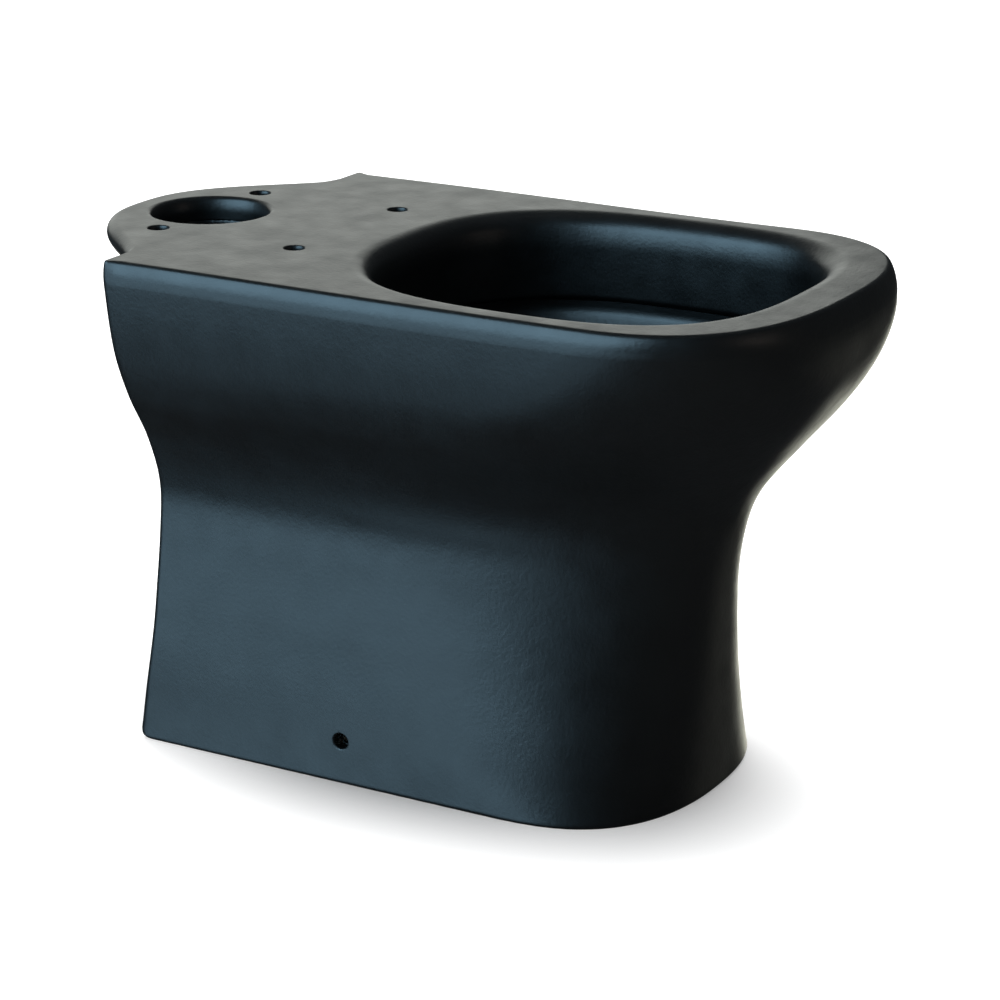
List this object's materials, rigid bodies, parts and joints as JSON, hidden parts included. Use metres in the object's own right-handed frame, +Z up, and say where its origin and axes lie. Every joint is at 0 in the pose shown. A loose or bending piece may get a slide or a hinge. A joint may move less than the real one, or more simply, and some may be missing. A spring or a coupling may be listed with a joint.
{
  "type": "toilet pan",
  "caption": "Free-standing skirted toilet pan in satin black china, with a D-shaped cistern platform, flush inlet, boxed rim, bowl, trap and horizontal outlet.",
  "frame": {"origin": "middle of the overall length and width, on the floor", "axes": "+Z up, +Y to the wall behind the pan (the front of the rim faces -Y), +X to the right seen from the front"},
  "size_m": [0.364, 0.6337, 0.4],
  "materials": {
    "glaze": "satin black glaze",
    "bare_china": "unglazed fired china",
    "zinc_steel": "zinc-plated",
    "nut_steel": "zinc-plated, machined"
  },
  "bodies": {
    "root": {"skirt": "glaze", "foot_ring": "glaze", "back_frame": "glaze", "deck": "glaze", "rim_wall": "glaze", "rim_floor": "glaze", "rim_back": "glaze", "flush_duct": "glaze", "flush_splitter": "glaze", "bowl": "glaze", "sump": "glaze", "trap_dip": "glaze", "trap_up_leg": "glaze", "trap_crown": "glaze", "outlet_spigot": "glaze", "trap_saddle": "bare_china", "fixing_boss_left": "bare_china", "fixing_boss_right": "bare_china", "floor_bracket_left": "zinc_steel", "floor_bracket_right": "zinc_steel", "bracket_nuts": "nut_steel"}
  },
  "joints": []
}
